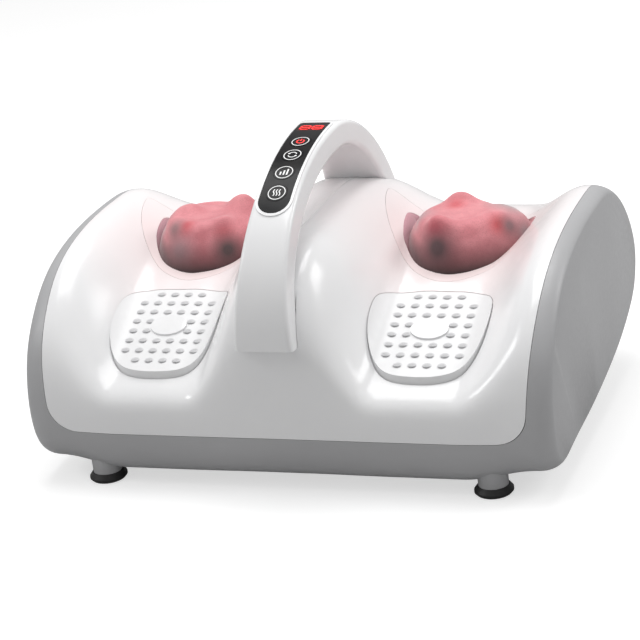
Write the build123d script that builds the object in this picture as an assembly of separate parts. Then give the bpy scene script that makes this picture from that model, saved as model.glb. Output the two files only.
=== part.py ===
from build123d import *
import math
import os

os.makedirs("parts", exist_ok=True)

# Foot massager. Millimetres, +Z up, the front faces -Y, +X is the user's right.
# The origin is on the floor, under the middle of the body.

# Driving sizes of the two body shells
BODY_WIDTH = 440.0
BODY_DEPTH = 334.0
RIDGE_HEIGHT = 188.0
SHELL_WALL = 3.0
CHEEK_WIDTH = 18.0
CHEEK_INSET = 10.0
BODY_CENTRE_Y = 5.0
BODY_CENTRE_Z = 98.0

# The two foot wells
WELL_X = 111.0
WELL_RIM_HALF = 91.0
WELL_FLOOR_HALF = 31.0
RIDGE_FLAT_HALF = 60.0
RIM_START = 160.0

# The seam between the white cover and the grey shell
SEAM_HEIGHT = 47.0
SEAM_HALF_LOW = 198.0
SEAM_HALF_HIGH = 210.0
SEAM_CORNER = 25.0
SEAM_GAP = 0.4
SEAM_RISE = 48.0

# Common fits
CLEAR = 0.3
OVERRUN = 5.0

HALF_WIDTH = BODY_WIDTH / 2
HALF_DEPTH = BODY_DEPTH / 2

# Side profiles as shares of HALF_DEPTH and RIDGE_HEIGHT, from the front edge over the top
# and back along the bottom: through a side rim, the middle ridge and the floor of a well
RIM_SHARES = (
    (-0.940, 0.245), (-0.942, 0.351), (-0.918, 0.468), (-0.868, 0.580), (-0.765, 0.702),
    (-0.605, 0.819), (-0.383, 0.904), (-0.084, 0.947), (0.246, 0.952), (0.473, 0.926),
    (0.662, 0.835), (0.807, 0.707), (0.893, 0.574), (0.909, 0.457), (0.844, 0.340),
    (0.689, 0.255), (0.451, 0.190), (0.090, 0.138), (-0.299, 0.110), (-0.655, 0.098),
    (-0.870, 0.118),
)
RIDGE_SHARES = (
    (-0.958, 0.245), (-0.958, 0.372), (-0.958, 0.511), (-0.949, 0.638), (-0.898, 0.777),
    (-0.790, 0.899), (-0.617, 0.984), (-0.359, 1.000), (-0.030, 1.000), (0.299, 0.995),
    (0.569, 0.941), (0.790, 0.814), (0.940, 0.649), (1.000, 0.479), (0.928, 0.340),
    (0.754, 0.245), (0.479, 0.170), (0.090, 0.115), (-0.299, 0.085), (-0.659, 0.068),
    (-0.905, 0.086),
)
FLOOR_SHARES = (
    (-0.958, 0.245), (-0.963, 0.322), (-0.955, 0.382), (-0.918, 0.428), (-0.820, 0.478),
    (-0.660, 0.554), (-0.419, 0.666), (-0.162, 0.750), (0.120, 0.793), (0.371, 0.809),
    (0.569, 0.798), (0.743, 0.745), (0.898, 0.628), (0.988, 0.468), (0.922, 0.330),
    (0.743, 0.234), (0.479, 0.165), (0.090, 0.112), (-0.299, 0.085), (-0.659, 0.068),
    (-0.905, 0.086),
)
# How far round its quarter circle the cheek goes before the flat end face
CHEEK_END_SHARE = 0.985
# Where the lofted body has a section, as shares of HALF_WIDTH
STATION_SHARES = (
    0.0, 0.05, 0.10, 0.14, 0.18, 0.22, 0.255, 0.29, 0.33, 0.37, 0.42, 0.516, 0.61, 0.66, 0.71,
    0.745, 0.785, 0.82, 0.855, 0.89, 0.915, 0.94, 0.96, 0.976, 0.988, 0.996, 1.0,
)


def smooth(t):
    """0 to 1 with level ends."""
    t = max(0.0, min(1.0, t))
    return t * t * (3 - 2 * t)


def mix(first, second, weight):
    """A profile part of the way from the first to the second."""
    return [
        (a[0] + (b[0] - a[0]) * weight, a[1] + (b[1] - a[1]) * weight)
        for a, b in zip(first, second)
    ]


def inset(points, distance):
    """A closed profile moved inwards by a distance."""
    moved = []
    for i, (y, z) in enumerate(points):
        before = points[i - 1]
        after = points[(i + 1) % len(points)]
        along_y = after[0] - before[0]
        along_z = after[1] - before[1]
        length = math.hypot(along_y, along_z)
        moved.append((y + distance * along_z / length, z - distance * along_y / length))
    return moved


def side_profile(x, wall):
    """The closed outline of the body cut at x, inside its skin by wall."""
    off_well = abs(abs(x) - WELL_X) - wall / 2
    well = smooth((WELL_RIM_HALF - off_well) / (WELL_RIM_HALF - WELL_FLOOR_HALF))
    towards_rim = smooth((abs(x) - RIDGE_FLAT_HALF) / (RIM_START - RIDGE_FLAT_HALF))
    top = mix(mix(RIDGE_SHARES, RIM_SHARES, towards_rim), FLOOR_SHARES, well)
    points = [(y * HALF_DEPTH, z * RIDGE_HEIGHT) for y, z in top]
    outer_x = abs(x) * HALF_WIDTH / (HALF_WIDTH - wall)
    u = CHEEK_END_SHARE * max(0.0, outer_x - HALF_WIDTH + CHEEK_WIDTH) / CHEEK_WIDTH
    drawn_in = CHEEK_INSET * (1 - math.sqrt(max(0.0, 1 - u * u)))
    y_scale = 1 - drawn_in / HALF_DEPTH
    z_scale = 1 - drawn_in / (RIDGE_HEIGHT - BODY_CENTRE_Z)
    points = [
        (BODY_CENTRE_Y + (y - BODY_CENTRE_Y) * y_scale, BODY_CENTRE_Z + (z - BODY_CENTRE_Z) * z_scale)
        for y, z in points
    ]
    return inset(points, wall) if wall else points


def run_lengths(points):
    """How far round a closed outline each of its points lies, from 0 to 1."""
    steps = [math.dist(a, b) for a, b in zip(points, points[1:] + points[:1])]
    return [sum(steps[:i]) / sum(steps) for i in range(len(steps) + 1)]


# All sections share one spacing round the outline, so the lofted skin stays light
SPACING = [
    sum(lengths) / 3
    for lengths in zip(*(
        run_lengths([(y * HALF_DEPTH, z * RIDGE_HEIGHT) for y, z in shares])
        for shares in (RIM_SHARES, RIDGE_SHARES, FLOOR_SHARES)
    ))
]


def hull(wall):
    """The whole body as one solid, inside its skin by wall."""
    sections = []
    for share in STATION_SHARES:
        x = share * (HALF_WIDTH - wall)
        points = [Vector(x, y, z) for y, z in side_profile(x, wall)]
        sections.append(Wire([Edge.make_spline(points, periodic=True, parameters=SPACING)]))
    half = Solid.make_loft(sections)
    return half + mirror(half, Plane.YZ)


def post(x, y, low, high, radius):
    """An upright cylinder."""
    return Pos(x, y, low) * Cylinder(radius, high - low, align=(Align.CENTER, Align.CENTER, Align.MIN))


def block(x_low, x_high, y_low, y_high, z_low, z_high):
    """A box from its corners."""
    middle = Pos((x_low + x_high) / 2, (y_low + y_high) / 2, (z_low + z_high) / 2)
    return middle * Box(x_high - x_low, y_high - y_low, z_high - z_low)


def upright(outline, low, high):
    """A plan outline drawn up into a prism."""
    return Pos(0, 0, low) * extrude(outline, high - low)


outer_hull = hull(0.0)
middle_hull = hull(SHELL_WALL / 2)
inner_hull = hull(SHELL_WALL)


def seam_prism(grow):
    """All that lies inside the front view of the white cover."""
    low = SEAM_HEIGHT - grow
    high = RIDGE_HEIGHT + OVERRUN
    half_low = SEAM_HALF_LOW + grow
    lean = (SEAM_HALF_HIGH - SEAM_HALF_LOW) / (RIDGE_HEIGHT - SEAM_HEIGHT)
    half_high = half_low + lean * (high - low)
    outline = make_face(
        Polyline((-half_low, low), (half_low, low), (half_high, high), (-half_high, high), close=True)
    )
    outline = fillet(outline.vertices().sort_by(Axis.Y)[:2], SEAM_CORNER)
    run = Vector(0, BODY_DEPTH, SEAM_RISE)
    placed = Plane.XZ.offset(HALF_DEPTH + OVERRUN) * outline
    prism = extrude(placed, run.length + SEAM_RISE, dir=run.normalized())
    above = block(-half_high, half_high, -BODY_DEPTH, BODY_DEPTH, high - OVERRUN, high + RIDGE_HEIGHT)
    return prism + above


# Outlines of the openings, in plan, for the well at +X
INSERT_FRONT_Y = -44.0
INSERT_DEPTH = 104.0
INSERT_HALF = 75.0
INSERT_CORNER = 5.0
INSERT_LEDGE = 4.0
# From a back corner round to the front, as shares of the half width and the depth
INSERT_SHARES = ((1.0, 1.0), (0.90, 0.66), (0.75, 0.43), (0.53, 0.22), (0.27, 0.06), (0.0, 0.0))

MOUTH_FRONT_Y = -35.0
MOUTH_DEPTH = 83.0
MOUTH_HALF = 55.0
MOUTH_CORNER = 9.0
MOUTH_SHARES = (
    (1.0, 1.0), (0.98, 0.78), (0.90, 0.55), (0.77, 0.36), (0.57, 0.18), (0.30, 0.05), (0.0, 0.0),
)


def bow(front_y, depth, half, shares, corner, grow=0.0):
    """A plan outline with a straight back edge and a round bow at the front."""
    right = [
        (WELL_X + x * (half + grow), front_y - grow + y * (depth + 2 * grow)) for x, y in shares
    ]
    left = [(2 * WELL_X - x, y) for x, y in reversed(right[:-1])]
    outline = make_face(Spline(*right, *left) + Line(left[-1], right[0]))
    return fillet(outline.vertices(), corner + grow)


def insert_outline(grow=0.0):
    return bow(INSERT_FRONT_Y, INSERT_DEPTH, INSERT_HALF, INSERT_SHARES, INSERT_CORNER, grow)


def mouth_outline(grow=0.0):
    return bow(MOUTH_FRONT_Y, MOUTH_DEPTH, MOUTH_HALF, MOUTH_SHARES, MOUTH_CORNER, grow)


# Sole plate at the front of each well
PLATE_BACK_Y = -55.0
PLATE_LENGTH = 84.0
PLATE_HALF = 48.0
PLATE_TILT = 3.4
PLATE_PIVOT_Z = 132.0
PLATE_LIFT = 0.5
PLATE_GAP = 0.8
# From the middle of the back edge round to the middle of the front edge
PLATE_SHARES = (
    (0.0, 1.0), (0.50, 0.99), (0.80, 0.93), (0.95, 0.80), (1.0, 0.58), (0.97, 0.38), (0.83, 0.19),
    (0.50, 0.04), (0.0, 0.0),
)
PAD_LENGTH = 31.0
PAD_WIDTH = 19.0
PAD_HEIGHT = 1.6
PAD_CENTRE_Y = -94.8
BUMP_PITCH = 12.0
BUMP_ROW_COUNTS = (4, 6, 6, 6, 6, 6, 6, 4)
BUMP_LENGTH = 7.0
BUMP_WIDTH = 4.8
BUMP_HEIGHT = 2.2
BUMP_FIRST_Y = -61.2
BUMP_ROW_PITCH = 9.6


def plate_outline(grow=0.0):
    half = PLATE_HALF + grow
    length = PLATE_LENGTH + 2 * grow
    front = PLATE_BACK_Y - PLATE_LENGTH - grow
    right = [(WELL_X + x * half, front + y * length) for x, y in PLATE_SHARES]
    left = [(2 * WELL_X - x, y) for x, y in reversed(right[1:-1])]
    return make_face(Spline(*right, *left, periodic=True))


# Handle arch: two quarter ellipses over the ridge, measured to its outer face
ARCH_FRONT = HALF_DEPTH
ARCH_REAR = 107.0
ARCH_SPRING_Z = 127.0
ARCH_RISE = 127.0
HANDLE_THICK = 20.0
HANDLE_WALL = 3.0
HANDLE_SPLIT = 12.0
HANDLE_TOP_HALF = 19.0
HANDLE_FLARE_DOWN_SHARE = 0.085
HANDLE_FLARE_BACK_SHARE = 0.034
HANDLE_EDGE = 4.0
FRONT_LEG_Z = 125.5
REAR_LEG_Z = 160.0
SHELF_THICK = 3.2


def arch_region(depth, lift, whole):
    """The side view of all that lies under the arch, at a depth below its outer face."""
    front = ARCH_FRONT - depth
    rear = ARCH_REAR - depth
    rise = ARCH_RISE - depth
    spring = ARCH_SPRING_Z
    edge = EllipticalCenterArc((0, spring), front, rise, start_angle=90, arc_size=90)
    edge += EllipticalCenterArc((0, spring), rear, rise, start_angle=0, arc_size=90)
    dome = make_face(edge + Line((-front, spring), (rear, spring)))
    low = FRONT_LEG_Z + lift
    if whole:
        return dome + Pos(-front / 2, spring / 2) * Rectangle(front, spring)
    leg = Pos(-front / 2, (low + spring) / 2) * Rectangle(front, spring - low)
    high = REAR_LEG_Z + lift
    below = Pos(rear / 2, (spring + high) / 2) * Rectangle(rear, high - spring)
    return dome + leg - below


def arch_band(near, far, lift=0.0):
    """The part of the arch between two depths below its outer face, cut level at the legs."""
    face = arch_region(near, lift, False) - arch_region(far, lift, True)
    return extrude(Plane.YZ * face, WELL_X, both=True)


def arch_sides(grow):
    """What lies outside the two flaring side faces of the handle."""
    half_at_zero = HANDLE_TOP_HALF + grow + (ARCH_SPRING_Z + ARCH_RISE) * HANDLE_FLARE_DOWN_SHARE
    right = Plane(
        origin=(half_at_zero, 0, 0),
        x_dir=(HANDLE_FLARE_BACK_SHARE, 1, 0),
        z_dir=(1, -HANDLE_FLARE_BACK_SHARE, HANDLE_FLARE_DOWN_SHARE),
    )
    slab = right * Box(
        2 * BODY_WIDTH, 2 * BODY_WIDTH, BODY_WIDTH, align=(Align.CENTER, Align.CENTER, Align.MIN)
    )
    return slab + mirror(slab, Plane.YZ)


def strap(near, far, grow=0.0, lift=0.0):
    """The handle between two depths, its sides moved out by grow and its ends up by lift."""
    return arch_band(near, far, lift) - arch_sides(grow)


def arch_point(angle):
    """(y, z) on the arch, at an angle up from the foot of its front quarter."""
    a = math.radians(angle)
    run = ARCH_FRONT if angle < 90 else ARCH_REAR
    return -run * math.cos(a), ARCH_SPRING_Z + ARCH_RISE * math.sin(a)


def arch_normal(angle):
    """The outward direction of the arch's face at that angle."""
    a = math.radians(angle)
    run = ARCH_FRONT if angle < 90 else ARCH_REAR
    return Vector(0, -math.cos(a) * ARCH_RISE, math.sin(a) * run).normalized()


def arch_plane(angle, depth=0.0):
    """A plane on the arch, facing out, with +X to the right."""
    y, z = arch_point(angle)
    normal = arch_normal(angle)
    return Plane(origin=Vector(0, y, z) - normal * depth, x_dir=(1, 0, 0), z_dir=normal)


def write(name, solids):
    """One piece, or a group of like pieces, in its own file."""
    group = solids if isinstance(solids, list) else [solids]
    separate = [s for piece in group for s in piece.solids()]
    export_step(separate[0] if len(separate) == 1 else Compound(separate), f"parts/{name}.step")


def write_pair(name, piece):
    """A piece of the right well and its mirror image in the left one."""
    write(f"{name}_right", piece)
    write(f"{name}_left", mirror(piece, Plane.YZ))


def on_both_sides(places):
    """Each (x, y) place and its mirror image, without repeats."""
    return sorted({(sign * x, y) for x, y in places for sign in (-1, 1)})


# Screws and bosses that hold the cover to the shell
CASE_SCREW_PLACES = on_both_sides(((WELL_X, -125.0), (WELL_X, 110.0), (0.0, -130.0), (0.0, 120.0)))
SCREW_RADIUS = 2.0
SCREW_HEAD_RADIUS = 3.7
SCREW_HEAD_HEIGHT = 2.6
SCREW_FIT = 0.05
SLOT_DEPTH = 1.2
SLOT_WIDTH = 1.0
CASE_SCREW_LENGTH = 22.0
CASE_SEAT_Z = 52.0
LOWER_BOSS_TOP = 62.0
LOWER_BOSS_RADIUS = 6.5
UPPER_BOSS_RADIUS = 5.0

# Screws up through two shelves in the cover into the legs of the handle
HANDLE_SCREW_X = 12.0
HANDLE_SCREW_LENGTH = 12.0
FRONT_SCREW_Y = -151.0
REAR_SCREW_Y = 86.5
HANDLE_BOSS_RADIUS = 3.6
HANDLE_BOSS_HEIGHT = 12.0
FRONT_SHELF_HALF = 22.0
FRONT_SHELF_BACK_Y = -141.0
REAR_SHELF_HALF = 26.0
REAR_SHELF_FRONT_Y = 78.0
REAR_SHELF_BACK_Y = 125.0


def screw(x, y, seat_z, length, up=1):
    """A pan head screw with a slot, its shank going up or down from the seat."""
    head = post(0, 0, -SCREW_HEAD_HEIGHT, 0, SCREW_HEAD_RADIUS)
    slot = block(
        -SLOT_WIDTH / 2, SLOT_WIDTH / 2, -SCREW_HEAD_RADIUS, SCREW_HEAD_RADIUS,
        -SCREW_HEAD_HEIGHT, SLOT_DEPTH - SCREW_HEAD_HEIGHT,
    )
    piece = head - slot + post(0, 0, 0, length, SCREW_RADIUS)
    if up < 0:
        piece = mirror(piece, Plane.XY)
    return Pos(x, y, seat_z) * piece


def screw_hole(x, y, low, high):
    return post(x, y, low, high, SCREW_RADIUS + SCREW_FIT)


# White top cover
WELL_CUT_LOW = 70.0
sky = RIDGE_HEIGHT + OVERRUN
front_seat_z = FRONT_LEG_Z - CLEAR - SHELF_THICK
rear_seat_z = REAR_LEG_Z - CLEAR - SHELF_THICK
HANDLE_SCREW_PLACES = [
    (sign * HANDLE_SCREW_X, y, leg_z, seat_z)
    for sign in (-1, 1)
    for y, leg_z, seat_z in (
        (FRONT_SCREW_Y, FRONT_LEG_Z, front_seat_z), (REAR_SCREW_Y, REAR_LEG_Z, rear_seat_z)
    )
]
handle_notch = strap(-CLEAR, HANDLE_THICK + CLEAR, grow=CLEAR, lift=-CLEAR)
lugs = [
    block(-FRONT_SHELF_HALF, FRONT_SHELF_HALF, -BODY_DEPTH, FRONT_SHELF_BACK_Y, front_seat_z, FRONT_LEG_Z + OVERRUN),
    block(
        -REAR_SHELF_HALF, REAR_SHELF_HALF, REAR_SHELF_FRONT_Y, REAR_SHELF_BACK_Y,
        rear_seat_z, REAR_LEG_Z + OVERRUN,
    ),
]
lugs += [post(x, y, LOWER_BOSS_TOP + CLEAR, sky, UPPER_BOSS_RADIUS) for x, y in CASE_SCREW_PLACES]
top_cover = (outer_hull - (inner_hull - lugs)) & seam_prism(0.0)
recess = (upright(insert_outline(), WELL_CUT_LOW, sky) + upright(plate_outline(PLATE_GAP), WELL_CUT_LOW, sky))
recess = recess - middle_hull
mouth_cut = upright(mouth_outline(INSERT_LEDGE), WELL_CUT_LOW, sky)
cuts = [recess, mirror(recess, Plane.YZ), mouth_cut, mirror(mouth_cut, Plane.YZ), handle_notch]
for x, y in CASE_SCREW_PLACES:
    cuts.append(screw_hole(x, y, LOWER_BOSS_TOP, CASE_SEAT_Z + CASE_SCREW_LENGTH + CLEAR))
for x, y, leg_z, seat_z in HANDLE_SCREW_PLACES:
    cuts.append(screw_hole(x, y, seat_z - OVERRUN, leg_z))
for cut in cuts:
    top_cover = top_cover - cut
write("top_cover", top_cover)

# Rubber feet
FOOT_FRONT = (164.0, -139.0)
FOOT_REAR = (145.0, 65.0)
FOOT_PLACES = on_both_sides((FOOT_FRONT, FOOT_REAR))
FOOT_POST_RADIUS = 12.0
FOOT_HEIGHT = 7.0
FOOT_RADIUS = 15.5
FOOT_TREAD_RADIUS = 14.0
FOOT_TOP_RADIUS = 12.5
FOOT_RIM_LOW = 1.6
FOOT_RIM_HIGH = 3.2
FOOT_PEG_RADIUS = 5.0
FOOT_PEG_HEIGHT = 6.0


def rubber_foot(x, y):
    """A flared rubber pad with a peg that pushes into its post."""
    half = make_face(
        Polyline(
            (0, 0), (FOOT_TREAD_RADIUS, 0), (FOOT_RADIUS, FOOT_RIM_LOW), (FOOT_RADIUS, FOOT_RIM_HIGH),
            (FOOT_TOP_RADIUS, FOOT_HEIGHT), (FOOT_PEG_RADIUS, FOOT_HEIGHT),
            (FOOT_PEG_RADIUS, FOOT_HEIGHT + FOOT_PEG_HEIGHT), (0, FOOT_HEIGHT + FOOT_PEG_HEIGHT), close=True,
        )
    )
    return Pos(x, y, 0) * revolve(Plane.XZ * half, Axis.Z)


for x, y in FOOT_PLACES:
    end = "front" if y < 0 else "rear"
    side = "right" if x > 0 else "left"
    write(f"rubber_foot_{end}_{side}", rubber_foot(x, y))

# Sheet chassis inside the lower shell
CHASSIS_Z = 44.0
CHASSIS_THICK = 2.0
CHASSIS_HALF = 165.0
CHASSIS_FRONT_Y = -75.0
CHASSIS_BACK_Y = 60.0
CHASSIS_EDGE = 12.0
CHASSIS_CORNER = 8.0
CHASSIS_SCREW_LENGTH = 8.0
STANDOFF_RADIUS = 5.0
STANDOFF_PLACES = on_both_sides(
    (x, y)
    for x in (CHASSIS_HALF - CHASSIS_EDGE, 0.0)
    for y in (CHASSIS_FRONT_Y + CHASSIS_EDGE, CHASSIS_BACK_Y - CHASSIS_EDGE)
)

# Power inlet at the back and the vent slots under the motors
INLET_HALF = 16.0
INLET_LOW = 60.0
INLET_HIGH = 86.0
INLET_FRONT_Y = 132.0
INLET_FLANGE = 3.0
JACK_RADIUS = 5.5
JACK_DEPTH = 12.0
JACK_PIN_RADIUS = 1.0
VENT_COUNT = 7
VENT_PITCH = 9.0
VENT_WIDTH = 3.0
VENT_LENGTH = 34.0
VENT_X = 70.0
VENT_Y = -20.0

# Grey lower shell
foot_posts = [post(x, y, FOOT_HEIGHT, CHASSIS_Z, FOOT_POST_RADIUS) for x, y in FOOT_PLACES]
risers = [post(x, y, 0, CHASSIS_Z, STANDOFF_RADIUS) for x, y in STANDOFF_PLACES]
risers += [post(x, y, 0, LOWER_BOSS_TOP, LOWER_BOSS_RADIUS) for x, y in CASE_SCREW_PLACES]
lower_shell = (outer_hull + foot_posts) - (inner_hull - risers)
lower_shell = lower_shell - seam_prism(SEAM_GAP)
cuts = [post(x, y, 0, FOOT_HEIGHT + FOOT_PEG_HEIGHT + CLEAR, FOOT_PEG_RADIUS) for x, y in FOOT_PLACES]
for x, y in CASE_SCREW_PLACES:
    cuts.append(post(x, y, 0, CASE_SEAT_Z, SCREW_HEAD_RADIUS + CLEAR))
    cuts.append(screw_hole(x, y, CASE_SEAT_Z - OVERRUN, LOWER_BOSS_TOP + OVERRUN))
for x, y in STANDOFF_PLACES:
    cuts.append(screw_hole(x, y, CHASSIS_Z - CHASSIS_SCREW_LENGTH, CHASSIS_Z + OVERRUN))
for i in range(VENT_COUNT):
    y = VENT_Y + (i - (VENT_COUNT - 1) / 2) * VENT_PITCH
    for x in (-VENT_X, VENT_X):
        cuts.append(
            block(
                x - VENT_LENGTH / 2, x + VENT_LENGTH / 2, y - VENT_WIDTH / 2, y + VENT_WIDTH / 2,
                0, CHASSIS_Z - OVERRUN,
            )
        )
cuts.append(
    block(
        -INLET_HALF - CLEAR, INLET_HALF + CLEAR, INLET_FRONT_Y, BODY_DEPTH, INLET_LOW - CLEAR, INLET_HIGH + CLEAR
    )
)
lower_shell = lower_shell - cuts
write("lower_shell", lower_shell)
write("case_screws", [screw(x, y, CASE_SEAT_Z, CASE_SCREW_LENGTH) for x, y in CASE_SCREW_PLACES])

flange_block = block(
    -INLET_HALF - INLET_FLANGE, INLET_HALF + INLET_FLANGE, INLET_FRONT_Y, BODY_DEPTH,
    INLET_LOW - INLET_FLANGE, INLET_HIGH + INLET_FLANGE,
)
inlet_flange = (flange_block & inner_hull) - Pos(0, -INLET_FLANGE, 0) * inner_hull
power_inlet = block(-INLET_HALF, INLET_HALF, INLET_FRONT_Y, BODY_DEPTH, INLET_LOW, INLET_HIGH) & outer_hull
power_inlet = power_inlet + inlet_flange
inlet_z = (INLET_LOW + INLET_HIGH) / 2
inlet_hits = power_inlet.find_intersection_points(Axis((0, 0, inlet_z), (0, 1, 0)))
inlet_face_y = max(hit[0].Y for hit in inlet_hits)
jack_plane = Plane(origin=(0, inlet_face_y, inlet_z), x_dir=(1, 0, 0), z_dir=(0, -1, 0))
jack = jack_plane * Cylinder(JACK_RADIUS, 2 * JACK_DEPTH)
jack = jack - jack_plane * Cylinder(JACK_PIN_RADIUS, 2 * JACK_DEPTH + OVERRUN)
jack = jack + jack_plane * Cylinder(JACK_RADIUS, JACK_DEPTH)
power_inlet = power_inlet - jack
write("power_inlet", power_inlet)

# Handle, hollow and split along its length
outer_strap = strap(0.0, HANDLE_THICK)
long_edges = [
    e for e in outer_strap.edges()
    if e.length > ARCH_REAR and abs(e.center().X) > HANDLE_TOP_HALF / 2
]
outer_strap = fillet(long_edges, HANDLE_EDGE)
strap_hollow = strap(HANDLE_WALL, HANDLE_THICK - HANDLE_WALL, grow=-HANDLE_WALL, lift=HANDLE_WALL)
leg_bosses = [
    post(x, y, leg_z, leg_z + HANDLE_BOSS_HEIGHT, HANDLE_BOSS_RADIUS) for x, y, leg_z, _ in HANDLE_SCREW_PLACES
]
handle_inner = (outer_strap - (strap_hollow - leg_bosses)) & arch_band(HANDLE_SPLIT, HANDLE_THICK + OVERRUN, -OVERRUN)
handle_inner = handle_inner - [
    screw_hole(x, y, leg_z - OVERRUN, seat_z + HANDLE_SCREW_LENGTH + CLEAR)
    for x, y, leg_z, seat_z in HANDLE_SCREW_PLACES
]
write("handle_inner", handle_inner)
write("handle_screws", [screw(x, y, seat_z, HANDLE_SCREW_LENGTH) for x, y, _, seat_z in HANDLE_SCREW_PLACES])

# Control panel on the front of the arch
PANEL_LOW_ANGLE = 46.4
PANEL_HIGH_ANGLE = 92.5
PANEL_WIDTH = 26.5
PANEL_LOW_CORNER = 12.5
PANEL_HIGH_CORNER = 3.0
PANEL_PROUD = 0.3
PANEL_DEPTH = 1.6
TRIM_WIDTH = 2.2
TRIM_PROUD = 0.9
FACE_FIT = 0.05
SLOT_INSET = 4.0
KEY_ANGLES = {"power": 78.0, "rotate": 70.7, "level": 62.6, "heat": 54.3}
KEY_RADIUS = 8.6
KEY_PROUD = 0.5
KEY_DEPTH = 2.6
KEY_FLANGE = 0.5
KEY_FLANGE_THICK = 0.7
KEY_STEM_RADIUS = 2.5
KEY_STEM_DEPTH = 4.6
KEY_TRAVEL = 0.6
DISPLAY_ANGLE = 87.5
DISPLAY_WIDTH = 22.0
DISPLAY_LENGTH = 14.0
MODULE_WIDTH = 17.0
MODULE_LENGTH = 11.0
MODULE_TOP = 2.0
BOARD_TOP = 8.5
BOARD_THICK = 1.2
BOARD_INSET = 1.2
SWITCH_SIZE = 6.0
SWITCH_TOP = KEY_STEM_DEPTH + KEY_TRAVEL + SCREW_FIT
PIN_ANGLES = (58.4, 82.8)
PIN_X = 11.6
PIN_RADIUS = 1.4

low_y, low_z = arch_point(PANEL_LOW_ANGLE)
high_y, high_z = arch_point(PANEL_HIGH_ANGLE)
panel_length = math.hypot(high_y - low_y, high_z - low_z)
panel_plane = Plane(
    origin=(0, (low_y + high_y) / 2, (low_z + high_z) / 2),
    x_dir=(1, 0, 0), z_dir=(0, low_z - high_z, high_y - low_y),
)


def panel_prism(grow):
    """The panel's outline drawn through the handle."""
    outline = Rectangle(PANEL_WIDTH + 2 * grow, panel_length + 2 * grow)
    corners = outline.vertices().sort_by(Axis.Y)
    outline = fillet(corners[:2], PANEL_LOW_CORNER + grow)
    corners = outline.vertices().sort_by(Axis.Y)
    outline = fillet(corners[-2:], PANEL_HIGH_CORNER + max(grow, 0.0))
    return panel_plane * extrude(outline, HANDLE_THICK + KEY_RADIUS, both=True)


def sunk(angle, radius, near, far):
    """A round bar square to the arch, between two depths."""
    return arch_plane(angle, far) * Cylinder(radius, far - near, align=(Align.CENTER, Align.CENTER, Align.MIN))


def sunk_box(angle, width, length, near, far):
    """A box square to the arch, between two depths."""
    return arch_plane(angle, far) * Box(width, length, far - near, align=(Align.CENTER, Align.CENTER, Align.MIN))


over_board = arch_band(0.0, BOARD_TOP)
panel_outline = panel_prism(0.0)
trim_outline = panel_prism(TRIM_WIDTH)
handle_outer = (outer_strap - strap_hollow) & arch_band(-OVERRUN, HANDLE_SPLIT, -OVERRUN)
handle_outer = handle_outer - (arch_band(-OVERRUN, PANEL_DEPTH) & trim_outline)
handle_outer = handle_outer - (arch_band(0.0, HANDLE_WALL + OVERRUN) & panel_prism(-SLOT_INSET))
handle_outer = handle_outer + [
    Pos(sign * PIN_X, 0, 0) * sunk(angle, PIN_RADIUS, (PANEL_DEPTH + HANDLE_WALL) / 2, BOARD_TOP) & over_board
    for sign in (-1, 1) for angle in PIN_ANGLES
]
write("handle_outer", handle_outer)
write("panel_trim", (arch_band(-TRIM_PROUD, PANEL_DEPTH) & trim_outline) - panel_prism(FACE_FIT))
panel_holes = [
    sunk(angle, KEY_RADIUS + CLEAR, -OVERRUN, HANDLE_SPLIT) for angle in KEY_ANGLES.values()
]
panel_holes.append(sunk_box(DISPLAY_ANGLE, DISPLAY_WIDTH, DISPLAY_LENGTH, -OVERRUN, HANDLE_SPLIT))
write("control_panel", (arch_band(-PANEL_PROUD, PANEL_DEPTH) & panel_outline) - panel_holes)
window = sunk_box(
    DISPLAY_ANGLE, DISPLAY_WIDTH - 2 * FACE_FIT, DISPLAY_LENGTH - 2 * FACE_FIT, -OVERRUN, HANDLE_SPLIT
)
write("display_window", window & arch_band(-PANEL_PROUD, PANEL_DEPTH))
write("display_module", sunk_box(DISPLAY_ANGLE, MODULE_WIDTH, MODULE_LENGTH, MODULE_TOP, BOARD_TOP) & over_board)
write("key_board", arch_band(BOARD_TOP, BOARD_TOP + BOARD_THICK) & panel_prism(-BOARD_INSET))
write(
    "tact_switches",
    [
        sunk_box(angle, SWITCH_SIZE, SWITCH_SIZE, SWITCH_TOP, BOARD_TOP) & over_board
        for angle in KEY_ANGLES.values()
    ],
)
cap_band = arch_band(-KEY_PROUD, KEY_DEPTH)
flange_band = arch_band(KEY_DEPTH - KEY_FLANGE_THICK, KEY_DEPTH)
for name, angle in KEY_ANGLES.items():
    cap = sunk(angle, KEY_RADIUS, -OVERRUN, HANDLE_SPLIT) & cap_band
    flange = sunk(angle, KEY_RADIUS + KEY_FLANGE, -OVERRUN, HANDLE_SPLIT) & flange_band
    stem = sunk(angle, KEY_STEM_RADIUS, 0.0, KEY_STEM_DEPTH)
    write(f"key_{name}", cap + flange + stem)
    y, z = arch_point(angle)
    print(name, "key at", round(y, 3), round(z, 3), "axis", [round(v, 5) for v in arch_normal(angle)])

# Massage head of one well, round its upright axis
HEAD_Y = 10.0
COVER_RADIUS = 42.0
COVER_TOP = 180.0
COVER_ROUND = 24.0
COVER_THICK = 1.5
KNOB_RING = 28.0
KNOB_RADIUS = 17.0
KNOB_Z = 170.0
KNOB_FIRST_ANGLE = -10.0
KNOB_COUNT = 4
NODE_RING = 24.0
NODE_RADIUS = 10.0
NODE_Z = 165.0
NODE_NECK_RADIUS = 4.0
DISC_Z = 117.0
DISC_THICK = 3.0
DISC_RADIUS = 48.0
RING_WIDTH = 4.6
RING_GAP = 0.4
RING_HEIGHT = 6.0
base_z = DISC_Z + DISC_THICK
knob_angles = [KNOB_FIRST_ANGLE + i * 360 / KNOB_COUNT for i in range(KNOB_COUNT)]


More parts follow.
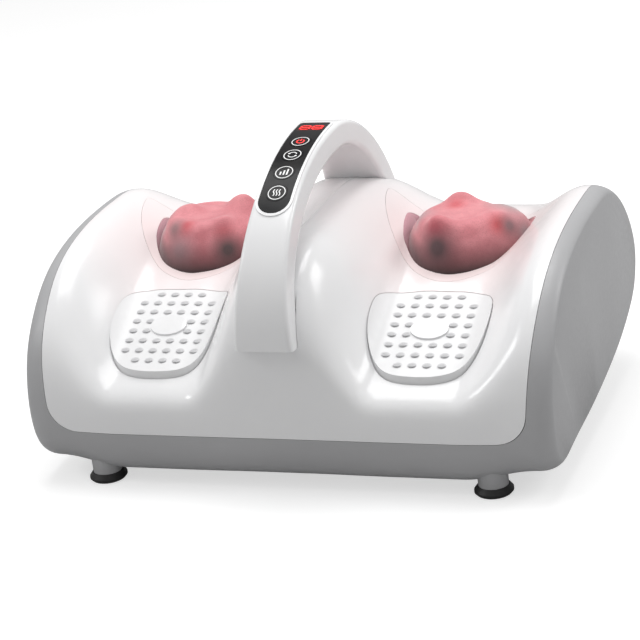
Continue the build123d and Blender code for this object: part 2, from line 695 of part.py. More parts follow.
def at_head(x, y, z=0.0):
    """A place given from the axis of the right head."""
    return Pos(WELL_X + x, HEAD_Y + y, z)


def around(ring, angle):
    a = math.radians(angle)
    return ring * math.cos(a), ring * math.sin(a)


def cover_shape(inside):
    """The drawn-up dome of the fabric cover with its knobs, or its hollow."""
    radius = COVER_RADIUS - inside
    dome = at_head(0, 0, base_z) * Cylinder(
        radius, COVER_TOP - inside - base_z, align=(Align.CENTER, Align.CENTER, Align.MIN)
    )
    dome = fillet(dome.edges().sort_by(Axis.Z)[-1], COVER_ROUND - inside)
    knobs = []
    for angle in knob_angles:
        x, y = around(KNOB_RING, angle)
        knobs.append(at_head(x, y, KNOB_Z) * Sphere(KNOB_RADIUS - inside))
    return dome + knobs


mouth_tight = upright(mouth_outline(-CLEAR), DISC_Z, RIDGE_HEIGHT + HALF_WIDTH)
outside_mouth = Pos(0, 0, CLEAR) * outer_hull - mouth_tight
hem = upright(mouth_outline(INSERT_LEDGE - CLEAR), DISC_Z, sky) & middle_hull
cover_hollow = cover_shape(COVER_THICK) & upright(mouth_outline(-CLEAR - COVER_THICK), DISC_Z - OVERRUN, BODY_WIDTH)
head_cover = (hem - inner_hull) + (cover_shape(0.0) - outside_mouth)
head_cover = head_cover - cover_hollow
write_pair("head_cover", head_cover)
head_insert = (outer_hull & upright(insert_outline(-CLEAR), DISC_Z, sky)) - middle_hull
head_insert = head_insert - upright(mouth_outline(), DISC_Z - OVERRUN, sky + OVERRUN)
write_pair("head_insert", head_insert)
ring_in = COVER_RADIUS + RING_GAP
cover_ring = at_head(0, 0, base_z) * Cylinder(
    ring_in + RING_WIDTH, RING_HEIGHT, align=(Align.CENTER, Align.CENTER, Align.MIN)
)
cover_ring = cover_ring - at_head(0, 0, base_z) * Cylinder(ring_in, 2 * RING_HEIGHT)
write_pair("cover_ring", cover_ring)

# Turning parts: shaft, disc with four arms, four nodes and the large gear
SHAFT_RADIUS = 4.0
SHAFT_LOW = 84.0
SHAFT_HIGH = 143.0
RUNNING_FIT = 0.05
ARM_LOW = 136.0
ARM_THICK = 6.0
ARM_END_RADIUS = 7.0
HUB_RADIUS = 10.0
HUB_LOW = 130.0
HUB_CAP = 2.0
write_pair("drive_shaft", at_head(0, 0) * post(0, 0, SHAFT_LOW, SHAFT_HIGH, SHAFT_RADIUS))
arms = []
nodes = []
for angle in knob_angles:
    x, y = around(NODE_RING, angle)
    arm = at_head(0, 0, ARM_LOW) * Rot(0, 0, angle) * Box(
        NODE_RING, 2 * ARM_END_RADIUS, ARM_THICK, align=(Align.MIN, Align.CENTER, Align.MIN)
    )
    arms += [arm, at_head(x, y) * post(0, 0, ARM_LOW, ARM_LOW + ARM_THICK, ARM_END_RADIUS)]
    node = at_head(x, y, NODE_Z) * Sphere(NODE_RADIUS)
    nodes.append(node + at_head(x, y) * post(0, 0, ARM_LOW + ARM_THICK, NODE_Z, NODE_NECK_RADIUS))
kneading_disc = at_head(0, 0) * post(0, 0, HUB_LOW, SHAFT_HIGH + HUB_CAP, HUB_RADIUS) + arms
kneading_disc = kneading_disc - at_head(0, 0) * post(0, 0, HUB_LOW - OVERRUN, SHAFT_HIGH, SHAFT_RADIUS)
write_pair("kneading_disc", kneading_disc)
write_pair("kneading_nodes", nodes)

# Gear pair
GEAR_MODULE = 1.25
WHEEL_TEETH = 48
PINION_TEETH = 16
GEAR_LOW = 100.0
GEAR_THICK = 8.0
PRESSURE_ANGLE = 20.0
BACKLASH = 0.3
ROOT_SHARE = 1.25
FLANK_SHARES = (0.0, 0.25, 0.5, 0.75, 1.0)
WHEEL_HUB_RADIUS = 9.0
PINION_SHAFT_RADIUS = 3.0
centre_distance = GEAR_MODULE * (WHEEL_TEETH + PINION_TEETH) / 2


def gear_outline(teeth, turn):
    """An involute spur gear as a flat face, its first tooth at an angle."""
    pitch = GEAR_MODULE * teeth / 2
    base = pitch * math.cos(math.radians(PRESSURE_ANGLE))
    root = pitch - ROOT_SHARE * GEAR_MODULE
    tip = pitch + GEAR_MODULE
    start = max(base, root)
    at_pitch = math.tan(math.radians(PRESSURE_ANGLE)) - math.radians(PRESSURE_ANGLE)
    half_tooth = math.pi / (2 * teeth) - BACKLASH / (4 * pitch)
    flank = [(root, half_tooth + at_pitch)] if root < base else []
    for share in FLANK_SHARES:
        radius = start + (tip - start) * share
        slope = math.acos(min(1.0, base / radius))
        flank.append((radius, half_tooth + at_pitch - (math.tan(slope) - slope)))
    tooth = [(r, -a) for r, a in flank] + [(r, a) for r, a in reversed(flank)]
    points = []
    for i in range(teeth):
        middle = math.radians(turn) + 2 * math.pi * i / teeth
        points += [(r * math.cos(middle + a), r * math.sin(middle + a)) for r, a in tooth]
    return make_face(Polyline(*points, close=True))


wheel = extrude(gear_outline(WHEEL_TEETH, 0.0), GEAR_THICK)
pinion = extrude(gear_outline(PINION_TEETH, 180 / PINION_TEETH), GEAR_THICK)

# Bracket, bushes and motor
BRACKET_LEG_X = 33.0
BRACKET_LEG_Y = 27.0
BRACKET_LEG_RADIUS = 4.5
PLATE_Z = 90.0
PLATE_THICK = 3.0
PLATE_MARGIN = 7.0
BUSH_RADIUS = 6.0
BUSH_FLANGE_RADIUS = 8.0
BUSH_FLANGE = 1.5
MOTOR_RADIUS = 18.0
MOTOR_EDGE = 2.0
MOTOR_BORE_DEPTH = 10.0
MOTOR_PLATE_HOLE = 6.0
chassis_top = CHASSIS_Z + CHASSIS_THICK
wheel_low = PLATE_Z + PLATE_THICK + BUSH_FLANGE + RUNNING_FIT

output_gear = at_head(0, 0, GEAR_LOW) * wheel + at_head(0, 0) * post(
    0, 0, wheel_low, GEAR_LOW + GEAR_THICK, WHEEL_HUB_RADIUS
)
output_gear = output_gear - at_head(0, 0) * post(0, 0, PLATE_Z, DISC_Z, SHAFT_RADIUS)
write_pair("output_gear", output_gear)
motor_pinion = at_head(0, -centre_distance, GEAR_LOW) * pinion + at_head(0, -centre_distance) * post(
    0, 0, PLATE_Z - MOTOR_BORE_DEPTH + CLEAR, GEAR_LOW, PINION_SHAFT_RADIUS
)
write_pair("motor_pinion", motor_pinion)
gear_motor = at_head(0, -centre_distance) * post(0, 0, chassis_top, PLATE_Z, MOTOR_RADIUS)
gear_motor = fillet(gear_motor.edges().filter_by(GeomType.CIRCLE), MOTOR_EDGE)
gear_motor = gear_motor - at_head(0, -centre_distance) * post(
    0, 0, PLATE_Z - MOTOR_BORE_DEPTH, PLATE_Z + OVERRUN, PINION_SHAFT_RADIUS + RUNNING_FIT
)
write_pair("gear_motor", gear_motor)

leg_places = on_both_sides(((BRACKET_LEG_X, BRACKET_LEG_Y), (BRACKET_LEG_X, -BRACKET_LEG_Y)))
disc_holes = at_head(0, 0) * post(0, 0, PLATE_Z - OVERRUN, base_z + OVERRUN, BUSH_RADIUS)
lower_plate = block(
    -BRACKET_LEG_X - PLATE_MARGIN, BRACKET_LEG_X + PLATE_MARGIN,
    -centre_distance - MOTOR_RADIUS / 2, BRACKET_LEG_Y + PLATE_MARGIN, PLATE_Z, PLATE_Z + PLATE_THICK,
)
gear_bracket = at_head(0, 0) * (
    lower_plate + post(0, 0, DISC_Z, base_z, DISC_RADIUS)
    + [post(x, y, chassis_top, DISC_Z + DISC_THICK / 2, BRACKET_LEG_RADIUS) for x, y in leg_places]
)
gear_bracket = gear_bracket - disc_holes - at_head(0, -centre_distance) * post(
    0, 0, PLATE_Z - OVERRUN, PLATE_Z + PLATE_THICK + OVERRUN, MOTOR_PLATE_HOLE
)

# Heater board with its row of lamps, on three spacers
HEATER_IN = 12.0
HEATER_OUT = 34.0
HEATER_GAP = 3.0
HEATER_THICK = 1.6
LAMP_COUNT = 6
LAMP_RING = 28.0
LAMP_RADIUS = 2.5
LAMP_HEIGHT = 3.4
SPACER_COUNT = 3
SPACER_RING = 18.0
SPACER_RADIUS = 3.0
heater_z = base_z + HEATER_GAP
for i in range(SPACER_COUNT):
    x, y = around(SPACER_RING, i * 360 / SPACER_COUNT)
    gear_bracket = gear_bracket + at_head(x, y) * post(0, 0, base_z - DISC_THICK / 2, heater_z, SPACER_RADIUS)
write_pair("gear_bracket", gear_bracket)
heater_board = at_head(0, 0) * (
    post(0, 0, heater_z, heater_z + HEATER_THICK, HEATER_OUT)
    - post(0, 0, heater_z - OVERRUN, heater_z + OVERRUN, HEATER_IN)
)
write_pair("heater_board", heater_board)
lamps = []
for i in range(LAMP_COUNT):
    x, y = around(LAMP_RING, i * 360 / LAMP_COUNT)
    lamps.append(at_head(x, y) * post(0, 0, heater_z + HEATER_THICK, heater_z + HEATER_THICK + LAMP_HEIGHT, LAMP_RADIUS))
write_pair("heat_lamps", lamps)
bushes = []
for low, flange_low in ((PLATE_Z, PLATE_Z + PLATE_THICK), (DISC_Z, DISC_Z - BUSH_FLANGE)):
    bush = post(0, 0, low, low + PLATE_THICK, BUSH_RADIUS)
    bush = bush + post(0, 0, flange_low, flange_low + BUSH_FLANGE, BUSH_FLANGE_RADIUS)
    bushes.append(at_head(0, 0) * (bush - post(0, 0, SHAFT_LOW, SHAFT_HIGH, SHAFT_RADIUS + RUNNING_FIT)))
write_pair("shaft_bushes", bushes)

# Chassis plate and the control board on it
CONTROL_HALF = 30.0
CONTROL_FRONT_Y = -45.0
CONTROL_BACK_Y = 38.0
CONTROL_GAP = 6.0
CONTROL_THICK = 1.6
CONTROL_EDGE = 5.0
# Parts on the board: (x, y, width, depth, height) as shares of its half width
CONTROL_PART_SHARES = (
    (-0.45, -0.9, 0.7, 0.6, 0.55), (0.45, -0.9, 0.6, 0.5, 0.40), (-0.4, 0.2, 0.5, 0.5, 0.18),
    (0.5, 0.15, 0.5, 0.9, 0.35), (-0.3, 0.85, 0.9, 0.25, 0.30),
)
chassis_plate = block(
    -CHASSIS_HALF, CHASSIS_HALF, CHASSIS_FRONT_Y, CHASSIS_BACK_Y, CHASSIS_Z, chassis_top
)
chassis_plate = fillet(chassis_plate.edges().filter_by(Axis.Z), CHASSIS_CORNER)
control_places = on_both_sides(
    (CONTROL_HALF - CONTROL_EDGE, y) for y in (CONTROL_FRONT_Y + CONTROL_EDGE, CONTROL_BACK_Y - CONTROL_EDGE)
)
chassis_plate = chassis_plate + [
    post(x, y, CHASSIS_Z + CHASSIS_THICK / 2, chassis_top + CONTROL_GAP, SPACER_RADIUS) for x, y in control_places
]
chassis_plate = chassis_plate - [screw_hole(x, y, CHASSIS_Z - OVERRUN, chassis_top + OVERRUN) for x, y in STANDOFF_PLACES]
write("chassis_plate", chassis_plate)
write(
    "chassis_screws",
    [screw(x, y, chassis_top, CHASSIS_SCREW_LENGTH, up=-1) for x, y in STANDOFF_PLACES],
)
control_z = chassis_top + CONTROL_GAP
control_middle_y = (CONTROL_FRONT_Y + CONTROL_BACK_Y) / 2
control_board = block(
    -CONTROL_HALF, CONTROL_HALF, CONTROL_FRONT_Y, CONTROL_BACK_Y, control_z, control_z + CONTROL_THICK
)
control_board = control_board + [
    Pos(x * CONTROL_HALF, control_middle_y + y * CONTROL_HALF, control_z + CONTROL_THICK / 2)
    * Box(
        width * CONTROL_HALF, depth * CONTROL_HALF, CONTROL_THICK / 2 + height * CONTROL_HALF,
        align=(Align.CENTER, Align.CENTER, Align.MIN),
    )
    for x, y, width, depth, height in CONTROL_PART_SHARES
]
write("control_board", control_board)

# Sole plates with their rows of soft bumps round an oval pad
tilt_axis = Axis((0, PLATE_BACK_Y, PLATE_PIVOT_Z), (1, 0, 0))
tilted_hull = outer_hull.rotate(tilt_axis, -PLATE_TILT)
plate_space = (upright(plate_outline(), WELL_CUT_LOW, sky) & tilted_hull) - middle_hull
pad_place = Pos(WELL_X, PAD_CENTRE_Y, WELL_CUT_LOW)
pad_hole = pad_place * extrude(Ellipse(PAD_LENGTH / 2 + FACE_FIT, PAD_WIDTH / 2 + FACE_FIT), sky)
sole_pad = (pad_place * extrude(Ellipse(PAD_LENGTH / 2, PAD_WIDTH / 2), sky)) & (
    Pos(0, 0, PAD_HEIGHT) * tilted_hull
)
write_pair("sole_pad", sole_pad - middle_hull)
bumps = []
for row, count in enumerate(BUMP_ROW_COUNTS):
    y = BUMP_FIRST_Y - row * BUMP_ROW_PITCH
    for i in range(count):
        x = (i - (count - 1) / 2) * BUMP_PITCH
        if abs(y - PAD_CENTRE_Y) < BUMP_ROW_PITCH and abs(x) < PAD_LENGTH / 2 + BUMP_LENGTH / 2:
            continue
        hits = plate_space.find_intersection_points(Axis((WELL_X + x, y, 0), (0, 0, 1)))
        top = max(hit[0].Z for hit in hits)
        bump = scale(Sphere(1), by=(BUMP_LENGTH / 2, BUMP_WIDTH / 2, BUMP_HEIGHT / 2))
        bumps.append(Pos(WELL_X + x, y, top) * bump)
sole_plate = plate_space - pad_hole + bumps
write_pair("sole_plate", sole_plate)
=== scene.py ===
import math

import bmesh
import bpy
from mathutils import Matrix, Vector
from mathutils.bvhtree import BVHTree


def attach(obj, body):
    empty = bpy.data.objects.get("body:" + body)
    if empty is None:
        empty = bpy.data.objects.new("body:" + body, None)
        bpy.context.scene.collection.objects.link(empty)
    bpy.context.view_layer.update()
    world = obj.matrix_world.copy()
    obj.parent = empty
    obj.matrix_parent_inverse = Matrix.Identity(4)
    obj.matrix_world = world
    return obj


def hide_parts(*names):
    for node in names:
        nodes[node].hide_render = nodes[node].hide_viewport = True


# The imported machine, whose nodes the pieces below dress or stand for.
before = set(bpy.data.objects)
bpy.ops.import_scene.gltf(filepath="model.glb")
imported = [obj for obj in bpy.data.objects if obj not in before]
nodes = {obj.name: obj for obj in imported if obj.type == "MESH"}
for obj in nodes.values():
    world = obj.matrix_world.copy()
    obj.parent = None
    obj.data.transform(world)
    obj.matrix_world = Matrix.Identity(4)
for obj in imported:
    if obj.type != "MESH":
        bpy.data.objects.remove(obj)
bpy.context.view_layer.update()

# The camera stands in front of the machine and to its right, above it, and is
# held a little askew, so that the front edge runs downhill to the right.
AIM = Vector((0.0064, -0.059, 0.108))
AIM_DISTANCE = 1.894
AZIMUTH = math.radians(22.0)
ELEVATION = math.radians(21.0)
ROLL = math.radians(7.5)
SENSOR_WIDTH = 36.0
FOCAL_LENGTH = 131.9
FARTHEST_SEEN = 50.0


def put_in_scene(name, data):
    """A new object that holds this data, unturned and at the origin."""
    held = bpy.data.objects.new(name, data)
    bpy.context.collection.objects.link(held)
    return held


outwards = Vector((
    math.sin(AZIMUTH) * math.cos(ELEVATION),
    -math.cos(AZIMUTH) * math.cos(ELEVATION),
    math.sin(ELEVATION),
))
level_right = Vector((math.cos(AZIMUTH), math.sin(AZIMUTH), 0.0))
level_up = outwards.cross(level_right)
right = level_right * math.cos(ROLL) - level_up * math.sin(ROLL)
up = level_right * math.sin(ROLL) + level_up * math.cos(ROLL)
lens = bpy.data.cameras.new("camera")
lens.sensor_width = SENSOR_WIDTH
lens.lens = FOCAL_LENGTH
lens.clip_end = FARTHEST_SEEN
camera = put_in_scene("camera", lens)
camera_turn = Matrix((right, up, outwards)).transposed().to_4x4()
camera.matrix_world = Matrix.Translation(AIM + outwards * AIM_DISTANCE) @ camera_turn
bpy.context.scene.camera = camera
bpy.context.scene.view_settings.view_transform = "Standard"

# The studio: a pale floor that takes the shadow, a white room and soft lamps, the
# largest above and behind, so that the front walls fall to grey.
FLOOR_HALF = 6.0
FLOOR_GREY = (0.52, 0.52, 0.52)
FLOOR_GLOW = 0.60
ROOM_LIGHT = 0.46
ROOM_SEEN = 1.0
WHITE_LIGHT = (1.0, 1.0, 1.0)
GRAIN_ROUGHNESS = 0.55
# Each lamp: name, place, what it points at, size and power
LAMPS = (
    ("lamp_above", (-0.10, 0.25, 1.6), (0.0, -0.02, 0.15), 1.1, 17.2),
    ("lamp_left", (-1.6, -0.7, 1.5), (0.0, -0.05, 0.12), 0.5, 6.0),
    ("lamp_right_rear", (1.5, 0.5, 1.3), (0.1, 0.0, 0.12), 0.7, 8.5),
)


class Finish:
    """One material: add() puts in a node, and shader is its Principled BSDF."""

    def __init__(self, name):
        self.material = bpy.data.materials.new(name)
        self.material.use_nodes = True
        self.tree = self.material.node_tree
        self.shader = self.tree.nodes["Principled BSDF"]
        self.output = self.tree.nodes["Material Output"]

    def add(self, kind, settings=None, out=0, **inputs):
        """A node's output as a Wire; an input is named, or i and its number."""
        node = self.tree.nodes.new(kind)
        for key, value in (settings or {}).items():
            setattr(node, key, value)
        for key, value in inputs.items():
            numbered = key[0] == "i" and key[1:].isdigit()
            self.join(node.inputs[int(key[1:]) if numbered else key], value)
        return Wire(self, node.outputs[out])

    def join(self, socket, value):
        if isinstance(value, Wire):
            self.tree.links.new(value.socket, socket)
        elif isinstance(value, tuple) and socket.type == "RGBA":
            socket.default_value = (*value, 1.0)
        else:
            socket.default_value = value

    def place(self):
        """Object coordinates, the fourth output of their node."""
        return self.add("ShaderNodeTexCoord", out=3)

    def mix(self, weight, first, second):
        """Two colours mixed, by the sockets that a Mix node has for colours."""
        return self.add("ShaderNodeMix", {"data_type": "RGBA"}, out=2, i0=weight, i6=first, i7=second)

    def noise(self, size, detail=3.0):
        return self.add(
            "ShaderNodeTexNoise", Vector=self.place(), Scale=1.0 / size, Detail=detail,
            Roughness=GRAIN_ROUGHNESS,
        )

    def patchy(self, size, low, high):
        """Noise that is 0 below one level of it and 1 above another."""
        return ramp_between(self.noise(size), low, high)

    def bump(self, height, distance, strength):
        bumped = self.add("ShaderNodeBump", Height=height, Distance=distance, Strength=strength)
        self.join(self.shader.inputs["Normal"], bumped)

    def set(self, **values):
        for key, value in values.items():
            self.join(self.shader.inputs[key.replace("_", " ")], value)


class Wire:
    """A socket with arithmetic, each operation one Math node."""

    def __init__(self, finish, socket):
        self.finish = finish
        self.socket = socket

    def maths(self, operation, *values, clamp=False):
        inputs = {f"i{i}": value for i, value in enumerate(values)}
        settings = {"operation": operation, "use_clamp": clamp}
        return self.finish.add("ShaderNodeMath", settings, **inputs)

    def __add__(self, other):
        return self.maths("ADD", self, other)

    def __sub__(self, other):
        return self.maths("SUBTRACT", self, other)

    def __rsub__(self, other):
        return self.maths("SUBTRACT", other, self)

    def __mul__(self, other):
        return self.maths("MULTIPLY", self, other)

    def __truediv__(self, other):
        return self.maths("DIVIDE", self, other)

    def __pow__(self, other):
        return self.maths("POWER", self, other)

    def __abs__(self):
        return self.maths("ABSOLUTE", self)

    __radd__ = __add__
    __rmul__ = __mul__

    def clamped(self):
        return self.maths("ADD", self, 0.0, clamp=True)

    def wrapped(self, pitch):
        """The place within one pitch of a pattern."""
        return self.maths("WRAP", self, pitch, 0.0)

    def split(self):
        node = self.finish.tree.nodes.new("ShaderNodeSeparateXYZ")
        self.finish.tree.links.new(self.socket, node.inputs[0])
        return [Wire(self.finish, out) for out in node.outputs]


def ramp_between(wire, low, high):
    """0 below low, 1 above high."""
    return ((wire - low) / (high - low)).clamped()


floor_mesh = bmesh.new()
bmesh.ops.create_grid(floor_mesh, x_segments=1, y_segments=1, size=FLOOR_HALF)
floor_data = bpy.data.meshes.new("floor")
floor_mesh.to_mesh(floor_data)
floor = put_in_scene("floor", floor_data)
paper = Finish("studio_floor")
paper.set(Base_Color=FLOOR_GREY, Roughness=0.9)
camera_ray = paper.add("ShaderNodeLightPath", out="Is Camera Ray")
glow = paper.add("ShaderNodeEmission", Color=WHITE_LIGHT, Strength=camera_ray * FLOOR_GLOW)
both = paper.tree.nodes.new("ShaderNodeAddShader")
paper.tree.links.new(paper.shader.outputs[0], both.inputs[0])
paper.tree.links.new(glow.socket, both.inputs[1])
paper.tree.links.new(both.outputs[0], paper.output.inputs[0])
floor_data.materials.append(paper.material)

world = bpy.data.worlds.new("room")
bpy.context.scene.world = world
world.use_nodes = True
room = world.node_tree
sky = room.nodes["Background"]
rays = room.nodes.new("ShaderNodeLightPath")
seen = room.nodes.new("ShaderNodeMath")
seen.operation = "MAXIMUM"
room.links.new(rays.outputs["Is Camera Ray"], seen.inputs[0])
room.links.new(rays.outputs["Is Transmission Ray"], seen.inputs[1])
strength = room.nodes.new("ShaderNodeMapRange")
strength.inputs["To Min"].default_value = ROOM_LIGHT
strength.inputs["To Max"].default_value = ROOM_SEEN
room.links.new(seen.outputs[0], strength.inputs["Value"])
room.links.new(strength.outputs[0], sky.inputs["Strength"])
sky.inputs["Color"].default_value = (*WHITE_LIGHT, 1.0)

for name, spot, target, size, power in LAMPS:
    lamp = bpy.data.lights.new(name, "AREA")
    lamp.size = size
    lamp.energy = power
    holder = put_in_scene(name, lamp)
    beam_turn = (Vector(target) - Vector(spot)).to_track_quat("-Z", "Y").to_matrix().to_4x4()
    holder.matrix_world = Matrix.Translation(spot) @ beam_turn


# White top cover: one large glossy moulding that drops from a middle ridge and two
# side rims into the foot wells. Round the heads its colour carries a painted warm glow, the light of
# the heads.
WELL_X = 0.111
HEAD_Y = 0.010
COVER_GLOW = 0.42
GLOW_REACH = (0.045, 0.125)
WHITE_CLEAN = (0.86, 0.86, 0.865)
WHITE_DUSTY = (0.83, 0.83, 0.84)
WHITE_GLOW_LIT = (0.90, 0.68, 0.67)
DUST_SIZE = 0.05
DUST_SHARE = 0.5
SCUFF_SIZE = 0.012
RIPPLE_SIZE = 0.018
RIPPLE_DEPTH = 0.00002
PLASTIC_INDEX = 1.5
MERGE_WITHIN = 2e-6
SHORTEST_EDGE = 1e-6


def moulded(node, body="base", crease=28.0):
    """A merged copy of a node, shaded smooth up to an angle, that stands for it."""
    mesh = bmesh.new()
    mesh.from_mesh(nodes[node].data)
    bmesh.ops.remove_doubles(mesh, verts=mesh.verts, dist=MERGE_WITHIN)
    bmesh.ops.dissolve_degenerate(mesh, edges=mesh.edges, dist=SHORTEST_EDGE)
    for face in mesh.faces:
        face.smooth = True
    limit = math.radians(crease)
    for edge in mesh.edges:
        edge.smooth = len(edge.link_faces) == 2 and edge.calc_face_angle(0.0) < limit
    data = bpy.data.meshes.new(f"{node}_skin")
    mesh.to_mesh(data)
    piece = put_in_scene(f"{node}_skin", data)
    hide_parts(node)
    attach(piece, body)
    return piece


def paint(piece, finish):
    """One finish on every slot of a piece or node."""
    if not piece.material_slots:
        piece.data.materials.append(finish.material)
    for held in piece.material_slots:
        held.material = finish.material


def white_plastic(name, head_glow=0.0):
    """Glossy white moulding with a faint ripple, dust and a painted pink glow of light near the
    heads.
    """
    finish = Finish(name)
    x, y, _ = finish.place().split()
    from_head = ((abs(x) - WELL_X) ** 2.0 + (y - HEAD_Y) ** 2.0) ** 0.5
    # Painted light: a warm pink glow from the heads, painted into the colour round each well.
    painted_glow = (1.0 - ramp_between(from_head, *GLOW_REACH)) * head_glow
    dust = finish.patchy(DUST_SIZE, 0.35, 0.75) * DUST_SHARE
    plain = finish.mix(dust, WHITE_CLEAN, WHITE_DUSTY)
    finish.set(Base_Color=finish.mix(painted_glow, plain, WHITE_GLOW_LIT))
    scuffs = finish.patchy(SCUFF_SIZE, 0.4, 0.8)
    finish.set(Roughness=0.16 + scuffs * 0.08, IOR=PLASTIC_INDEX)
    finish.bump(finish.noise(RIPPLE_SIZE, detail=1.0), RIPPLE_DEPTH, 0.35)
    return finish


top_cover = moulded("top_cover")
paint(top_cover, white_plastic("cover_white_gloss", head_glow=COVER_GLOW))

# Head surrounds: glossy white inserts let into the wells round each mouth. They
# carry the same gloss and more of the painted warm glow of the heads.
SIDES = ("right", "left")
INSERT_GLOW = 0.62
insert_finish = white_plastic("insert_white_gloss", head_glow=INSERT_GLOW)
for side in SIDES:
    insert = moulded(f"head_insert_{side}")
    paint(insert, insert_finish)

# Handle: two glossy half shells that close on each other along the arch, with a
# bright rim round the key panel.
handle_finish = white_plastic("handle_white_gloss")
for node in ("handle_outer", "handle_inner", "panel_trim"):
    shell = moulded(node)
    paint(shell, handle_finish)

# Key panel: a black gloss lens bent to the arch, with four round keys that stand
# a hair proud of it and a dark red display window at its top.
PANEL_BLACKS = (0.012, 0.012, 0.013), (0.020, 0.019, 0.019)
PANEL_HAZE_SIZE = 0.02
PANEL_WEAR_SIZE = 0.006
PANEL_SHINE = 0.11
WINDOW_REDS = (0.020, 0.006, 0.006), (0.034, 0.009, 0.009)
WINDOW_HAZE_SIZE = 0.01
WINDOW_SHINE = 0.2
# Where each key sits, as the angle round the arch from its front foot
KEY_ANGLES = {"power": 78.0, "rotate": 70.7, "level": 62.6, "heat": 54.3}
lens_finish = Finish("panel_black_gloss")
panel_haze = lens_finish.patchy(PANEL_HAZE_SIZE, 0.4, 0.7)
lens_finish.set(Base_Color=lens_finish.mix(panel_haze, *PANEL_BLACKS))
panel_wear = lens_finish.patchy(PANEL_WEAR_SIZE, 0.45, 0.8)
lens_finish.set(Roughness=0.18 + panel_wear * 0.10, Specular_IOR_Level=PANEL_SHINE)
panel = moulded("control_panel")
paint(panel, lens_finish)
for key in KEY_ANGLES:
    cap = moulded(f"key_{key}", body=f"key_{key}")
    paint(cap, lens_finish)
window_finish = Finish("display_dark_red")
window_haze = window_finish.patchy(WINDOW_HAZE_SIZE, 0.4, 0.7)
window_finish.set(Base_Color=window_finish.mix(window_haze, *WINDOW_REDS))
window_finish.set(Roughness=0.16, Specular_IOR_Level=WINDOW_SHINE)
window = moulded("display_window")
paint(window, window_finish)

# Printed marks on the keys and lit segments in the display: a ring on each key, a
# power sign, two turning arrows, rising bars, waves of heat, and two digits.
ARCH_FRONT = 0.167
ARCH_SPRING_Z = 0.127
ARCH_RISE = 0.127
MARK_PROUD = 0.00052
MARK_FLATNESS = 0.18
DISPLAY_ANGLE = 87.5
RING_RADIUS = 0.0069
RING_STROKE = 0.00040
POWER_RADIUS = 0.0030
POWER_BAR = (0.0004, 0.0038)
TURN_RADIUS = 0.0034
ARROW_SIZE = 0.0013
ARROW_LEAN = 38.0
BAR_FOOT = -0.0032
# The rising bars: place across the key and height of the top
BARS = ((-0.0027, 0.0004), (0.0, 0.0020), (0.0027, 0.0036))
WAVE_SPACING = 0.0024
WAVE_SWING = 0.0006
WAVE_LENGTH = 0.0066
WAVE_TURN = 6.6
WAVE_STEPS = 16
SIGN_STROKES = {"power": 0.00058, "rotate": 0.00046, "level": 0.00070, "heat": 0.00046}
DIGIT_SPACING = 0.0104
DIGIT_STRETCH = 1.45
DIGIT_BAR_HALF = 0.0022
DIGIT_BAR_HEIGHTS = (-0.0040, 0.0, 0.0040)
DIGIT_POST_X = 0.0027
DIGIT_POST_FEET = (-0.0034, 0.0006)
DIGIT_POST_LENGTH = 0.0028
DIGIT_STROKE = 0.00090
PRINT_GRAIN = 0.002
PRINT_WHITES = (0.80, 0.80, 0.80), (0.88, 0.88, 0.88)
LIT_REDS = (0.75, 0.02, 0.02), (0.85, 0.04, 0.03)


def print_finish(name, colours, roughness, lit, lit_strength):
    """The ink or lit red of a mark, with a fine grain and a glow of its own, which on white ink is
    painted light.
    """
    finish = Finish(name)
    finish.set(Base_Color=finish.mix(finish.noise(PRINT_GRAIN), *colours), Roughness=roughness)
    finish.set(Emission_Color=lit, Emission_Strength=lit_strength)
    return finish


# Painted light: the white ink glows faintly.
mark_white = print_finish("printed_white", PRINT_WHITES, 0.4, (0.9, 0.9, 0.9), 0.12)
mark_red = print_finish("lit_red", LIT_REDS, 0.3, (1.0, 0.03, 0.03), 0.75)


def arch_spot(angle):
    """Point, up-slope direction, outward direction and radius of bend of the arch."""
    a = math.radians(angle)
    spot = Vector((0.0, -ARCH_FRONT * math.cos(a), ARCH_SPRING_Z + ARCH_RISE * math.sin(a)))
    along = Vector((0.0, ARCH_FRONT * math.sin(a), ARCH_RISE * math.cos(a)))
    speed = along.length
    bend = speed**3 / (ARCH_FRONT * ARCH_RISE)
    along.normalize()
    return spot, along, Vector((1.0, 0.0, 0.0)).cross(along), bend


def arc_points(radius, start, end, count=28):
    """Points of an arc round the mark's middle, angles in degrees."""
    turns = [math.radians(start + (end - start) * i / (count - 1)) for i in range(count)]
    return [(radius * math.cos(t), radius * math.sin(t)) for t in turns]


def mark(name, strokes, angle, finish, body, width):
    """Flat rounded strokes laid on the arch round a place on its middle line."""
    line = bpy.data.curves.new(name, "CURVE")
    line.dimensions = "3D"
    line.bevel_depth = width
    line.bevel_resolution = 2
    line.use_fill_caps = True
    for points, closed in strokes:
        spline = line.splines.new("POLY")
        spline.points.add(len(points) - 1)
        for held, (u, v) in zip(spline.points, points):
            held.co = (u, v, 0.0, 1.0)
        spline.use_cyclic_u = closed
    shape = put_in_scene(f"{name}_line", line)
    bpy.context.view_layer.update()
    data = bpy.data.meshes.new_from_object(shape)
    bpy.data.objects.remove(shape)
    spot, along, out, bend = arch_spot(angle)
    mesh = bmesh.new()
    mesh.from_mesh(data)
    for vert in mesh.verts:
        u, v, w = vert.co
        lift = MARK_PROUD + w * MARK_FLATNESS - v * v / (2.0 * bend)
        vert.co = spot + Vector((u, 0.0, 0.0)) + along * v + out * lift
    bmesh.ops.recalc_face_normals(mesh, faces=mesh.faces)
    for face in mesh.faces:
        face.smooth = True
    mesh.to_mesh(data)
    data.materials.clear()
    data.materials.append(finish.material)
    piece = put_in_scene(name, data)
    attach(piece, body)


